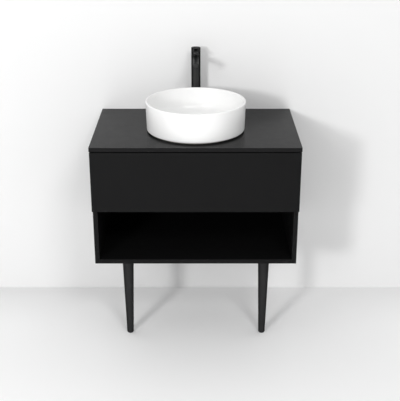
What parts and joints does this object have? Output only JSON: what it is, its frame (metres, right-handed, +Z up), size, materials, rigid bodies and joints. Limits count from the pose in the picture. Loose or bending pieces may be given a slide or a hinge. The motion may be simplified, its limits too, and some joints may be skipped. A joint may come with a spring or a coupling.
{
  "type": "vessel sink on vanity",
  "caption": "Wall-hung bathroom vanity on front legs with one push-back drawer, an open niche, a round vessel basin, waste and trap, and a tall single-lever mixer tap.",
  "frame": {"origin": "on the floor, under the middle of the bounding box", "axes": "+Z up, the front faces -Y, the wall plane is at +Y, +X is to the right of someone who stands in front"},
  "size_m": [0.8, 0.52, 1.138],
  "materials": {
    "laminate": "satin black laminate over board",
    "lacquer": "satin black lacquer",
    "drawer_board": "dark melamine-faced board",
    "ceramic": "gloss white glaze",
    "black_metal": "matt black coating over metal",
    "zinc_steel": "zinc-plated",
    "brass": "plain machined",
    "rubber": "matt",
    "black_plastic": "matt",
    "white_plastic": "semi-gloss"
  },
  "bodies": {
    "cabinet": {"worktop": "laminate", "side_panel_left": "lacquer", "side_panel_right": "lacquer", "bottom_panel": "lacquer", "middle_panel": "lacquer", "niche_back": "lacquer", "front_rail": "lacquer", "back_rail": "lacquer", "leg_left": "lacquer", "leg_right": "lacquer", "wall_rail": "zinc_steel", "hanger_left": "zinc_steel", "hanger_right": "zinc_steel", "leg_stud_left": "zinc_steel", "leg_stud_right": "zinc_steel", "runner_outer_left": "zinc_steel", "runner_outer_right": "zinc_steel", "tap_steel_washer": "zinc_steel", "leg_plate_left": "black_metal", "leg_plate_right": "black_metal", "tap_foot_ring": "black_metal", "tap_body": "black_metal", "tap_spout": "black_metal", "tap_aerator": "black_metal", "basin": "ceramic", "waste_body": "brass", "waste_nut": "brass", "cartridge_nut": "brass", "tap_shank": "brass", "tap_nut": "brass", "hose_inlet_left": "brass", "hose_inlet_right": "brass", "waste_washer": "rubber", "tap_rubber_washer": "rubber", "trap_inlet_nut": "white_plastic", "trap_body": "white_plastic", "trap_cup": "white_plastic", "trap_outlet_pipe": "white_plastic", "trap_outlet_nut": "white_plastic", "wall_escutcheon": "white_plastic", "tap_cartridge": "white_plastic"},
    "drawer": {"drawer_front": "lacquer", "drawer_side_left": "drawer_board", "drawer_side_right": "drawer_board", "drawer_back_left": "drawer_board", "drawer_back_right": "drawer_board", "trap_bay_left": "drawer_board", "trap_bay_right": "drawer_board", "trap_bay_front": "drawer_board", "drawer_bottom": "drawer_board", "runner_inner_left": "zinc_steel", "runner_inner_right": "zinc_steel"},
    "runner_left": {"runner_middle_left": "zinc_steel"},
    "runner_right": {"runner_middle_right": "zinc_steel"},
    "handle": {"handle_cap": "black_metal", "lever_pin": "zinc_steel"},
    "lever": {"handle_lever": "black_metal"},
    "plug": {"waste_plug": "black_metal"},
    "foot_left": {"glide_left": "black_plastic"},
    "foot_right": {"glide_right": "black_plastic"}
  },
  "joints": [
    {"name": "drawer_slide", "type": "slide", "parent": "cabinet", "child": "drawer", "axis": [0, -1, 0], "range_m": [0, 0.36]},
    {"name": "runner_slide_left", "type": "slide", "parent": "cabinet", "child": "runner_left", "axis": [0, -1, 0], "range_m": [0, 0.18]},
    {"name": "runner_slide_right", "type": "slide", "parent": "cabinet", "child": "runner_right", "axis": [0, -1, 0], "range_m": [0, 0.18]},
    {"name": "handle_turn", "type": "hinge", "parent": "cabinet", "child": "handle", "pos_m": [0, 0.2, 1.11], "axis": [0, 0, 1], "range_deg": [-45, 45]},
    {"name": "lever_tip", "type": "hinge", "parent": "handle", "child": "lever", "pos_m": [0, 0.194, 1.1265], "axis": [-1, 0, 0], "range_deg": [0, 18]},
    {"name": "plug_lift", "type": "slide", "parent": "cabinet", "child": "plug", "axis": [0, 0, 1], "range_m": [0, 0.008]},
    {"name": "glide_screw_left", "type": "slide", "parent": "cabinet", "child": "foot_left", "axis": [0, 0, -1], "range_m": [0, 0.01]},
    {"name": "glide_screw_right", "type": "slide", "parent": "cabinet", "child": "foot_right", "axis": [0, 0, -1], "range_m": [0, 0.01]}
  ],
  "couplings": [
    {"joint": "runner_slide_left", "follows": "drawer_slide", "ratio": 0.5},
    {"joint": "runner_slide_right", "follows": "drawer_slide", "ratio": 0.5}
  ]
}
